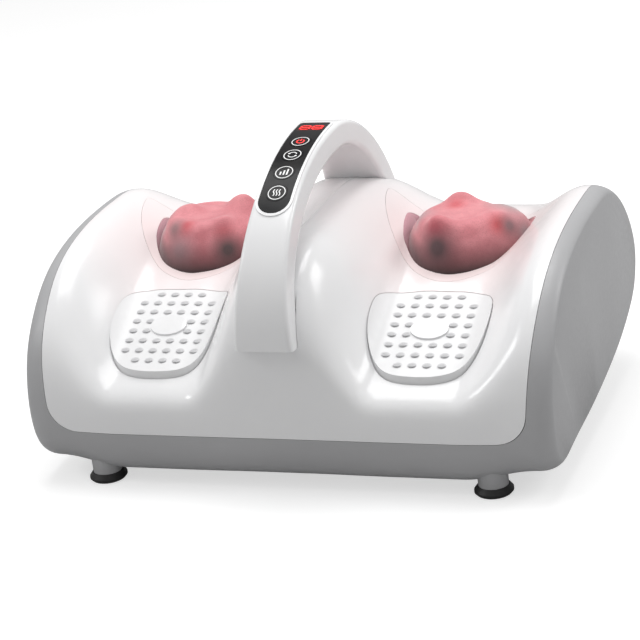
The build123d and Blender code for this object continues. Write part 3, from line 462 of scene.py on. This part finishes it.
def arrow_head(radius, turn):
    """Two short strokes that make an arrow's point on a ring."""
    t = math.radians(turn)
    tip = (radius * math.cos(t), radius * math.sin(t))
    marks = []
    for lean in (-ARROW_LEAN, ARROW_LEAN):
        back = t - math.pi / 2 + math.radians(lean)
        end = (tip[0] + ARROW_SIZE * math.cos(back), tip[1] + ARROW_SIZE * math.sin(back))
        marks.append(([tip, end], False))
    return marks


ring = [(arc_points(RING_RADIUS, 0, 350, 36), True)]
wave = [
    (WAVE_SWING * math.sin(WAVE_TURN * t), WAVE_LENGTH * (t - 0.5))
    for t in [i / WAVE_STEPS for i in range(WAVE_STEPS + 1)]
]
signs = {
    "power": [
        (arc_points(POWER_RADIUS, 125, 415), False),
        ([(0.0, height) for height in POWER_BAR], False),
    ],
    "rotate": [
        (arc_points(TURN_RADIUS, 20, 165), False),
        (arc_points(TURN_RADIUS, 200, 345), False),
        *arrow_head(TURN_RADIUS, 165),
        *arrow_head(TURN_RADIUS, 345),
    ],
    "level": [([(across, BAR_FOOT), (across, top)], False) for across, top in BARS],
    "heat": [
        ([(u + shift, v) for u, v in wave], False) for shift in (-WAVE_SPACING, 0.0, WAVE_SPACING)
    ],
}
for key, angle in KEY_ANGLES.items():
    mark(f"mark_ring_{key}", ring, angle, mark_white, f"key_{key}", RING_STROKE)
    ink = mark_red if key == "power" else mark_white
    mark(f"mark_{key}", signs[key], angle, ink, f"key_{key}", SIGN_STROKES[key])
digit = [[(-DIGIT_BAR_HALF, v), (DIGIT_BAR_HALF, v)] for v in DIGIT_BAR_HEIGHTS]
digit += [
    [(u, v), (u, v + DIGIT_POST_LENGTH)]
    for u in (-DIGIT_POST_X, DIGIT_POST_X) for v in DIGIT_POST_FEET
]
segments = [
    ([(u * DIGIT_STRETCH + shift, v) for u, v in stroke], False)
    for shift in (-DIGIT_SPACING / 2, DIGIT_SPACING / 2) for stroke in digit
]
mark("display_digits", segments, DISPLAY_ANGLE, mark_red, "base", DIGIT_STROKE)

# Grey lower shell: a satin moulding that shows as a band under the seam, the flat
# cheeks at both ends, the back and the pan, with four stub legs.
SHELL_GREYS = (0.430, 0.430, 0.438), (0.400, 0.400, 0.408)
SHELL_CLOUD_SIZE = 0.09
SHELL_WEAR_SIZE = 0.004
SHELL_GRAIN_SIZE = 0.0011
SHELL_GRAIN_DEPTH = 0.00003
SHELL_INDEX = 1.46
grey_finish = Finish("shell_grey_satin")
shell_cloud = grey_finish.patchy(SHELL_CLOUD_SIZE, 0.3, 0.75)
grey_finish.set(Base_Color=grey_finish.mix(shell_cloud, *SHELL_GREYS))
shell_wear = grey_finish.patchy(SHELL_WEAR_SIZE, 0.35, 0.75)
grey_finish.set(Roughness=0.34 + shell_wear * 0.12, IOR=SHELL_INDEX)
grey_finish.bump(grey_finish.noise(SHELL_GRAIN_SIZE, detail=2.0), SHELL_GRAIN_DEPTH, 0.30)
lower_shell = moulded("lower_shell")
paint(lower_shell, grey_finish)

# Rubber feet: four flared pads, moulded in black rubber and pushed into the stub
# legs from below.
RUBBER_BLACKS = (0.010, 0.010, 0.011), (0.022, 0.021, 0.021)
RUBBER_CLOUD_SIZE = 0.003
RUBBER_WEAR_SIZE = 0.0015
RUBBER_GRAIN_SIZE = 0.0008
RUBBER_GRAIN_DEPTH = 0.00004
rubber_finish = Finish("rubber_black")
rubber_cloud = rubber_finish.noise(RUBBER_CLOUD_SIZE)
rubber_finish.set(Base_Color=rubber_finish.mix(rubber_cloud, *RUBBER_BLACKS))
rubber_finish.set(Roughness=0.42 + rubber_finish.patchy(RUBBER_WEAR_SIZE, 0.3, 0.8) * 0.2)
rubber_finish.bump(rubber_finish.noise(RUBBER_GRAIN_SIZE), RUBBER_GRAIN_DEPTH, 0.4)
for end in ("front", "rear"):
    for side in SIDES:
        foot = moulded(f"rubber_foot_{end}_{side}")
        paint(foot, rubber_finish)

# Sole plates: soft white plates on the slope of each well, with rows of oval bumps, each
# given a grey oval in the colour, laid out on a fixed pitch round a glossy oval pad.
BUMP_PITCH = 0.012
BUMP_ROW_PITCH = 0.0096
BUMP_FIRST_Y = -0.0612
BUMP_TINT_RADII = (0.0042, 0.0030)
BUMP_TINT_EDGE = (0.55, 1.05)
BUMP_TINT_SHARE = 0.75
BUMP_RADII = (0.0035, 0.0024, 0.0011)
BUMP_SEGMENTS = 32
BUMP_RINGS = 16
# The bumps that stand close beside the pad: pitches off the middle, and rows
PAD_SIDE_STEPS = (-1.5, 1.5)
PAD_ROWS = (3, 4)
# Where the tint ends: half width of the rows, what the two end rows lose of it, and
# the places over which each change comes, in y but for the last row, which is in -y
TINT_HALF = 0.0365
TINT_NARROWING = 0.0125
TINT_FIRST_ROW = (-0.0664, -0.0656)
TINT_LAST_ROW = (0.1232, 0.1240)
TINT_END = (-0.1325, -0.1320)
TINT_SIDE_EDGE = (0.0, 0.0005)
PAD_Y = -0.0948
PAD_CLEAR_X = (0.0120, 0.0122)
PAD_CLEAR_Y = (0.0098, 0.0100)
SOLE_WHITES = (0.80, 0.80, 0.805), (0.84, 0.84, 0.845)
SOLE_CLOUD_SIZE = 0.01
SOLE_GRAIN_SIZE = 0.0012
SOLE_GRAIN_DEPTH = 0.00002
BUMP_GREY = (0.42, 0.42, 0.43)
PAD_WHITES = (0.84, 0.84, 0.845), (0.88, 0.88, 0.885)
PAD_CLOUD_SIZE = 0.008
PAD_WEAR_SIZE = 0.004
ABOVE_ALL = 0.4
DOWN = Vector((0.0, 0.0, -1.0))
sole_finish = Finish("sole_soft_white")
x, y, _ = sole_finish.place().split()
from_well = abs(x) - WELL_X
bump_across = from_well.wrapped(BUMP_PITCH) - BUMP_PITCH / 2
rows_start = BUMP_FIRST_Y - BUMP_ROW_PITCH / 2
bump_along = (y - rows_start).wrapped(BUMP_ROW_PITCH) - BUMP_ROW_PITCH / 2
tint_half_x, tint_half_y = BUMP_TINT_RADII
oval = ((bump_across / tint_half_x) ** 2.0 + (bump_along / tint_half_y) ** 2.0) ** 0.5
on_bump = 1.0 - ramp_between(oval, *BUMP_TINT_EDGE)
out_x = abs(from_well)
end_rows = (ramp_between(y, *TINT_FIRST_ROW) + ramp_between(0.0 - y, *TINT_LAST_ROW)).clamped()
side_room = TINT_HALF - end_rows * TINT_NARROWING - out_x
in_rows = ramp_between(side_room, *TINT_SIDE_EDGE) * ramp_between(y, *TINT_END)
beside_pad = 1.0 - ramp_between(abs(y - PAD_Y), *PAD_CLEAR_Y)
near_pad = (1.0 - ramp_between(out_x, *PAD_CLEAR_X)) * beside_pad
bump_tint = on_bump * (in_rows * (1.0 - near_pad)) * BUMP_TINT_SHARE
sole_white = sole_finish.mix(sole_finish.noise(SOLE_CLOUD_SIZE), *SOLE_WHITES)
sole_finish.set(Base_Color=sole_finish.mix(bump_tint, sole_white, BUMP_GREY))
sole_finish.set(Roughness=0.38 + on_bump * 0.12)
sole_finish.bump(sole_finish.noise(SOLE_GRAIN_SIZE), SOLE_GRAIN_DEPTH, 0.3)
pad_finish = Finish("pad_white_gloss")
pad_finish.set(Base_Color=pad_finish.mix(pad_finish.noise(PAD_CLOUD_SIZE), *PAD_WHITES))
pad_finish.set(Roughness=0.08 + pad_finish.patchy(PAD_WEAR_SIZE, 0.5, 0.9) * 0.05)


def well_axis(side):
    """X of the middle of the well on one side."""
    return WELL_X if side == "right" else -WELL_X


def surface_of(node):
    """A node's surface, to be struck by rays."""
    source = nodes[node].data
    corners = [vert.co for vert in source.vertices]
    return BVHTree.FromPolygons(corners, [tuple(face.vertices) for face in source.polygons])


def pad_side_bumps(side):
    """The bumps close beside the oval pad, one at each end of its two rows."""
    plate_top = surface_of(f"sole_plate_{side}")
    mesh = bmesh.new()
    for row in PAD_ROWS:
        for across in PAD_SIDE_STEPS:
            bump_x = well_axis(side) + across * BUMP_PITCH
            above = Vector((bump_x, BUMP_FIRST_Y - row * BUMP_ROW_PITCH, ABOVE_ALL))
            spot = plate_top.ray_cast(above, DOWN)[0]
            bmesh.ops.create_uvsphere(
                mesh, u_segments=BUMP_SEGMENTS, v_segments=BUMP_RINGS, radius=1.0,
                matrix=Matrix.Translation(spot) @ Matrix.Diagonal((*BUMP_RADII, 1.0)),
            )
    for face in mesh.faces:
        face.smooth = True
    data = bpy.data.meshes.new(f"sole_side_bumps_{side}")
    mesh.to_mesh(data)
    data.materials.append(sole_finish.material)
    bumps = put_in_scene(f"sole_side_bumps_{side}", data)
    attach(bumps, "base")


for side in SIDES:
    pad_side_bumps(side)
    plate = moulded(f"sole_plate_{side}", crease=40.0)
    paint(plate, sole_finish)
    pad = moulded(f"sole_pad_{side}")
    paint(pad, pad_finish)

# Head covers: fine stretch mesh drawn over the kneading nodes of each head, clamped
# under the insert with a loose fold on one side, the nodes pressing knobs into it. Its
# colour carries painted light and shade: a red glow on top where the lamps shine through,
# painted shade down to its edge and along the fold's crease, and painted dull shadows by the knobs.
MOUTH_FRONT_Y = -0.035
MOUTH_DEPTH = 0.083
MOUTH_HALF = 0.055
MOUTH_CORNER = 0.009
# The bow of the mouth's front, as shares of its half width and depth
MOUTH_SHARES = (
    (1.0, 1.0), (0.98, 0.78), (0.90, 0.55), (0.77, 0.36), (0.57, 0.18), (0.30, 0.05), (0.0, 0.0),
)
BACK_STEPS = 14
CORNER_STEPS = 6
BOW_STEPS = 8
MESH_TOP = 0.1768
MESH_THICK = 0.0010
BULGE_X = 0.006
BULGE_Y = 0.012
BULGE_HALF_WIDTH = 0.0495
BULGE_HALF_DEPTH = 0.0475
BULGE_SHOULDER = 0.028
BULGE_FULLNESS = (2.4, 2.1)
POCKET_DROP = 0.009
POCKET_WIDTH = 0.012
TUCK = 0.003
TUCK_DROP = 0.0024
CELL = 0.0011
SMOOTHINGS = 4
NODE_RING = 0.024
NODE_Z = 0.165
NODE_CLEAR = 0.0117
KNOB_FLATNESS = 2.6
MESH_REDS = (0.64, 0.205, 0.23), (0.74, 0.27, 0.295)
FOLD_PINK = (0.62, 0.32, 0.37)
CREASE_SHADE = (0.13, 0.055, 0.065)
EDGE_SHADE = (0.050, 0.028, 0.028)
SHADE_HEIGHTS = (0.1400, 0.1690)
FOLD_EDGE = (0.98, 1.06)
FOLD_START = (0.020, 0.030)
CREASE_START = (0.018, 0.030)
CREASE_PLACE = 0.99
CREASE_HALF = 0.09
BLOTCH_SIZE = 0.014
WEAVE_SIZE = 0.0013
WEAVE_DEPTH = 0.0003
HOLE_DARK = (0.10, 0.03, 0.035)
PATCH_FADE = (0.25, 1.35)
UNLIT = (0.0, 0.0, 0.0)
# Knobs of each head: place from the well's axis and HEAD_Y, lift and spread
KNOBS = {
    "right": (
        (-0.006, 0.027, 0.0075, 0.0120), (0.039, -0.006, 0.0045, 0.0105),
        (-0.010, -0.032, 0.0080, 0.0115),
    ),
    "left": (
        (-0.016, 0.002, 0.0055, 0.0110), (0.028, 0.018, 0.0100, 0.0125),
        (0.030, -0.026, 0.0080, 0.0120),
    ),
}
# Patches of painted light and shade on each cover: the red glow of the lamps through the
# cloth and dull shadows by the knobs. Each gives place from the well's axis and HEAD_Y and
# height off the floor, reach and colour, and lies over the ones before it.
LIGHT_AND_SHADE_PATCHES = {
    "right": (
        ((0.036, 0.022, 0.173), 0.020, (0.42, 0.33, 0.335)),
        ((0.051, 0.006, 0.155), 0.013, (0.36, 0.23, 0.245)),
        ((-0.030, -0.006, 0.171), 0.012, (0.46, 0.29, 0.31)),
        ((-0.006, 0.011, 0.179), 0.010, (0.64, 0.12, 0.14)),
        ((0.035, -0.011, 0.168), 0.010, (0.56, 0.08, 0.09)),
        ((0.042, -0.005, 0.165), 0.011, (0.24, 0.12, 0.13)),
        ((-0.011, -0.033, 0.173), 0.012, (0.60, 0.11, 0.14)),
        ((-0.009, -0.040, 0.159), 0.019, (0.130, 0.072, 0.080)),
    ),
    "left": (
        ((-0.038, -0.004, 0.166), 0.014, (0.40, 0.26, 0.28)),
        ((-0.012, -0.040, 0.156), 0.017, (0.46, 0.25, 0.27)),
        ((-0.007, -0.028, 0.174), 0.009, (0.58, 0.09, 0.11)),
        ((-0.017, -0.027, 0.171), 0.011, (0.34, 0.17, 0.18)),
        ((0.025, -0.026, 0.168), 0.009, (0.58, 0.15, 0.17)),
        ((0.029, -0.031, 0.154), 0.014, (0.120, 0.086, 0.088)),
    ),
}


def stretch_mesh(side):
    """The fabric of one head, its patches of painted light and shade set out from the axis of that
    well.
    """
    finish = Finish(f"mesh_fabric_{side}")
    x, y, z = finish.place().split()
    well_x = x - well_axis(side)
    colour = finish.mix(finish.patchy(BLOTCH_SIZE, 0.35, 0.7), *MESH_REDS)
    bulge_x = (well_x - BULGE_X) / BULGE_HALF_WIDTH
    bulge_y = (y - BULGE_Y) / BULGE_HALF_DEPTH
    bulge = (bulge_x**2.0 + bulge_y**2.0) ** 0.5
    fold = ramp_between(bulge, *FOLD_EDGE) * ramp_between(0.0 - well_x, *FOLD_START)
    colour = finish.mix(fold, colour, FOLD_PINK)
    full, gone = PATCH_FADE
    # Painted light and shade: red glow of the lamps and dull shadows beside the knobs.
    for (px, py, pz), reach, painted_tone in LIGHT_AND_SHADE_PATCHES[side]:
        away = ((well_x - px) ** 2.0 + (y - HEAD_Y - py) ** 2.0 + (z - pz) ** 2.0) ** 0.5
        near = (1.0 - ramp_between(away, reach * full, reach * gone)) ** 1.4
        colour = finish.mix(near, colour, painted_tone)
    # Painted shade: a dark line along the crease at the edge of the fold.
    crease = (1.0 - abs(bulge - CREASE_PLACE) / CREASE_HALF).clamped()
    crease = crease * ramp_between(0.0 - well_x, *CREASE_START)
    colour = finish.mix(crease * 0.75, colour, CREASE_SHADE)
    # Painted shade: the cloth darkens towards its bottom edge, away from the lamps' light.
    low = (1.0 - ramp_between(z, *SHADE_HEIGHTS)) ** 1.2
    colour = finish.mix(low, colour, EDGE_SHADE)
    weave = finish.add(
        "ShaderNodeTexVoronoi", {"feature": "DISTANCE_TO_EDGE"},
        Vector=finish.place(), Scale=1.0 / WEAVE_SIZE,
    )
    holes = ramp_between(weave, 0.02, 0.30)
    finish.set(Base_Color=finish.mix(holes * 0.20, colour, HOLE_DARK))
    finish.set(Roughness=0.70 - holes * 0.06, Sheen_Weight=0.30, Sheen_Roughness=0.45)
    # Painted light: the cloth glows faintly in its own colour, as lamp light through it, except at
    # its shaded bottom edge.
    finish.set(Emission_Color=finish.mix(low, colour, UNLIT), Emission_Strength=0.06)
    finish.bump(weave, WEAVE_DEPTH, 0.5)
    return finish


def smooth_run(points):
    """A smooth run through the points of an outline."""
    padded = [points[0]] + list(points) + [points[-1]]
    run = []
    for a, b, c, d in zip(padded, padded[1:], padded[2:], padded[3:]):
        for i in range(BOW_STEPS):
            t = i / BOW_STEPS
            run.append(tuple(
                0.5 * (
                    2 * q + (r - p) * t + (2 * p - 5 * q + 4 * r - s) * t * t
                    + (3 * q - p - 3 * r + s) * t**3
                )
                for p, q, r, s in zip(a, b, c, d)
            ))
    return run + [points[-1]]


corner_x = MOUTH_HALF - MOUTH_CORNER
corner_y = MOUTH_FRONT_Y + MOUTH_DEPTH - MOUTH_CORNER
back_run = [(corner_x * i / BACK_STEPS, corner_y + MOUTH_CORNER) for i in range(BACK_STEPS)]
corner_turns = [i * math.pi / (2 * CORNER_STEPS) for i in range(CORNER_STEPS + 1)]
corner_run = [
    (corner_x + MOUTH_CORNER * math.sin(turn), corner_y + MOUTH_CORNER * math.cos(turn))
    for turn in corner_turns
]
bow_points = [(sx * MOUTH_HALF, MOUTH_FRONT_Y + sy * MOUTH_DEPTH) for sx, sy in MOUTH_SHARES]
bow_run = [(px, py) for px, py in smooth_run(bow_points) if py < corner_y]
half_outline = back_run + corner_run + bow_run
outline = half_outline + [(-px, py) for px, py in reversed(half_outline)]


def inside_mouth(px, py):
    """Distance in from the mouth's edge, negative outside, and the nearest spot on it."""
    nearest = (1.0, 0.0, 0.0)
    crossings = 0
    for (ax, ay), (bx, by) in zip(outline, outline[1:] + outline[:1]):
        ex, ey = bx - ax, by - ay
        length2 = ex * ex + ey * ey
        t = 0.0
        if length2 > 0.0:
            t = max(0.0, min(1.0, ((px - ax) * ex + (py - ay) * ey) / length2))
        qx, qy = ax + t * ex, ay + t * ey
        nearest = min(nearest, (math.hypot(px - qx, py - qy), qx, qy))
        if (ay > py) != (by > py) and px < ax + (py - ay) / (by - ay) * ex:
            crossings += 1
    return (nearest[0] if crossings % 2 else -nearest[0]), nearest[1], nearest[2]


def smooth_step(t):
    """0 to 1 with a level start and end."""
    t = max(0.0, min(1.0, t))
    return t * t * (3.0 - 2.0 * t)


def swept_height(away):
    """Least height of the cloth this far from the axis, clear of the turning nodes."""
    across = NODE_CLEAR**2 - (away - NODE_RING) ** 2
    return NODE_Z + math.sqrt(across) if across > 0.0 else 0.0


def hem_heights(side, middle_y):
    """Spots of the mouth's edge, with the height of the cloth tucked under the rim."""
    rim = surface_of(f"head_insert_{side}")
    well = well_axis(side)
    heights = []
    for qx, qy in outline:
        out = Vector((qx, qy - middle_y)).normalized() * TUCK
        hit = rim.ray_cast(Vector((well + qx + out.x, qy + out.y, ABOVE_ALL)), DOWN)[0]
        if hit is not None:
            heights.append((qx, qy, hit.z - TUCK_DROP))
    return heights


def cloth_height(px, py, depth, hem, knobs):
    """Height of the cloth over a spot that lies depth in from the mouth's edge."""
    across = (px - BULGE_X) / BULGE_HALF_WIDTH
    along = (py - BULGE_Y) / BULGE_HALF_DEPTH
    reach = min(depth, (1.0 - math.hypot(across, along)) * BULGE_HALF_DEPTH)
    let_in = smooth_step(depth / POCKET_WIDTH)
    pocket = hem - POCKET_DROP * let_in
    t = max(0.0, min(1.0, reach / BULGE_SHOULDER))
    steep, level = BULGE_FULLNESS
    swell = (1.0 - (1.0 - t) ** steep) ** (1.0 / level)
    height = pocket + (MESH_TOP - pocket) * swell
    height = max(height, swept_height(math.hypot(px, py - HEAD_Y)))
    for kx, ky, lift, spread in knobs:
        away = math.hypot(px - kx, py - HEAD_Y - ky)
        height += lift * math.exp(-((away / spread) ** KNOB_FLATNESS)) * let_in
    return height


def drawn_cover(side):
    """The stretched cover of one head, a fine grid lifted over its nodes."""
    well = well_axis(side)
    middle_y = MOUTH_FRONT_Y + MOUTH_DEPTH / 2
    edge_heights = hem_heights(side, middle_y)
    mesh = bmesh.new()
    cells = round(2 * (MOUTH_HALF + TUCK) / CELL)
    bmesh.ops.create_grid(mesh, x_segments=cells, y_segments=cells, size=MOUTH_HALF + TUCK)
    for vert in list(mesh.verts):
        px, py = vert.co.x, vert.co.y + middle_y
        depth, qx, qy = inside_mouth(px, py)
        if depth < -TUCK:
            mesh.verts.remove(vert)
            continue
        near = sorted(((qx - ax) ** 2 + (qy - ay) ** 2, az) for ax, ay, az in edge_heights)[:3]
        weights = [1.0 / (gap + 1e-7) for gap, _ in near]
        hem = sum(w * az for w, (_, az) in zip(weights, near)) / sum(weights)
        vert.co = Vector((well + px, py, cloth_height(px, py, depth, hem, KNOBS[side])))
    for _ in range(SMOOTHINGS):
        bmesh.ops.smooth_vert(
            mesh, verts=[v for v in mesh.verts if not v.is_boundary], factor=0.5,
            use_axis_x=True, use_axis_y=True, use_axis_z=True,
        )
        for vert in mesh.verts:
            away = math.hypot(vert.co.x - well, vert.co.y - HEAD_Y)
            vert.co.z = max(vert.co.z, swept_height(away))
    bmesh.ops.recalc_face_normals(mesh, faces=mesh.faces)
    if sum(face.normal.z for face in mesh.faces) < 0.0:
        bmesh.ops.reverse_faces(mesh, faces=mesh.faces)
    for face in mesh.faces:
        face.smooth = True
    data = bpy.data.meshes.new(f"mesh_cover_{side}")
    mesh.to_mesh(data)
    piece = put_in_scene(f"mesh_cover_{side}", data)
    wall = piece.modifiers.new("wall", "SOLIDIFY")
    wall.thickness = MESH_THICK
    wall.offset = -1.0
    data.materials.append(stretch_mesh(side).material)
    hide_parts(f"head_cover_{side}")
    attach(piece, "base")


for side in SIDES:
    drawn_cover(side)


# Works inside: bracket, gears, shaft, disc, nodes, lamps and boards of each head,
# the chassis and control board under them, and the power inlet at the back.
def plain_finish(name, dark, light, roughness, grain=0.003, **more):
    """A finish whose colour and roughness drift between two values."""
    finish = Finish(name)
    finish.set(Base_Color=finish.mix(finish.patchy(grain, 0.3, 0.7), dark, light))
    finish.set(Roughness=roughness + finish.patchy(grain / 3, 0.3, 0.8) * 0.12, **more)
    finish.bump(finish.noise(grain / 2), 0.00002, 0.3)
    return finish


nylon = plain_finish("nylon_natural", (0.66, 0.62, 0.52), (0.74, 0.70, 0.61), 0.38)
steel = plain_finish("steel_turned", (0.48, 0.48, 0.49), (0.58, 0.58, 0.59), 0.22, Metallic=1.0)
zinc = plain_finish("sheet_zinc", (0.40, 0.41, 0.44), (0.52, 0.53, 0.55), 0.34, 0.008, Metallic=1.0)
bronze = plain_finish("bronze_sintered", (0.35, 0.21, 0.08), (0.45, 0.29, 0.12), 0.36, Metallic=1.0)
black = plain_finish("plastic_black", (0.012, 0.012, 0.012), (0.025, 0.025, 0.025), 0.44)
board = plain_finish("board_green", (0.012, 0.09, 0.035), (0.020, 0.13, 0.05), 0.36)
lamp_red = plain_finish(
    "lamp_red_lit", (0.60, 0.02, 0.02), (0.75, 0.05, 0.04), 0.18,
    Emission_Color=(1.0, 0.05, 0.04), Emission_Strength=1.5,
)
# What each head has, and what the machine has once
HEAD_WORKS = (
    (nylon, ("kneading_disc", "kneading_nodes", "output_gear")),
    (steel, ("drive_shaft", "motor_pinion")),
    (zinc, ("gear_bracket", "gear_motor")),
    (bronze, ("shaft_bushes",)),
    (black, ("cover_ring",)),
    (board, ("heater_board",)),
    (lamp_red, ("heat_lamps",)),
)
SHARED_WORKS = (
    (steel, ("case_screws", "handle_screws", "chassis_screws")),
    (black, ("power_inlet", "display_module", "tact_switches")),
    (board, ("control_board", "key_board")),
    (zinc, ("chassis_plate",)),
)
for finish, names in HEAD_WORKS:
    for name in names:
        for side in SIDES:
            paint(nodes[f"{name}_{side}"], finish)
for finish, names in SHARED_WORKS:
    for name in names:
        paint(nodes[name], finish)
